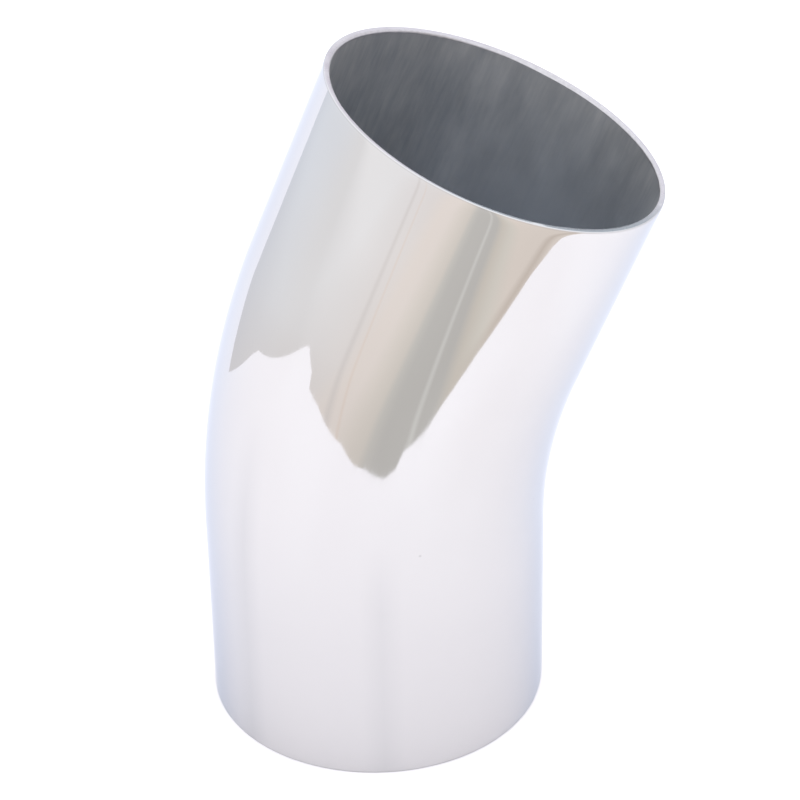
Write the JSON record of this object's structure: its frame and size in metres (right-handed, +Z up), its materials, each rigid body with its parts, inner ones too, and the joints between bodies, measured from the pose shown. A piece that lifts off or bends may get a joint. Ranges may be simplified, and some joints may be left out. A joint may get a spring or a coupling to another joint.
{
  "type": "flue elbow",
  "caption": "Shallow flue elbow: one bent length of polished steel tube with plain square-cut ends, for turning a flue run.",
  "frame": {"origin": "centre of the lower mouth, in the plane of the lower cut end", "axes": "+Z up the lower leg, +X towards the side that the bend leans to, and the XZ plane halves the elbow"},
  "size_m": [0.1057, 0.08, 0.1625],
  "materials": {
    "polished_steel": "polished"
  },
  "bodies": {
    "root": {"elbow_tube": "polished_steel"}
  },
  "joints": []
}
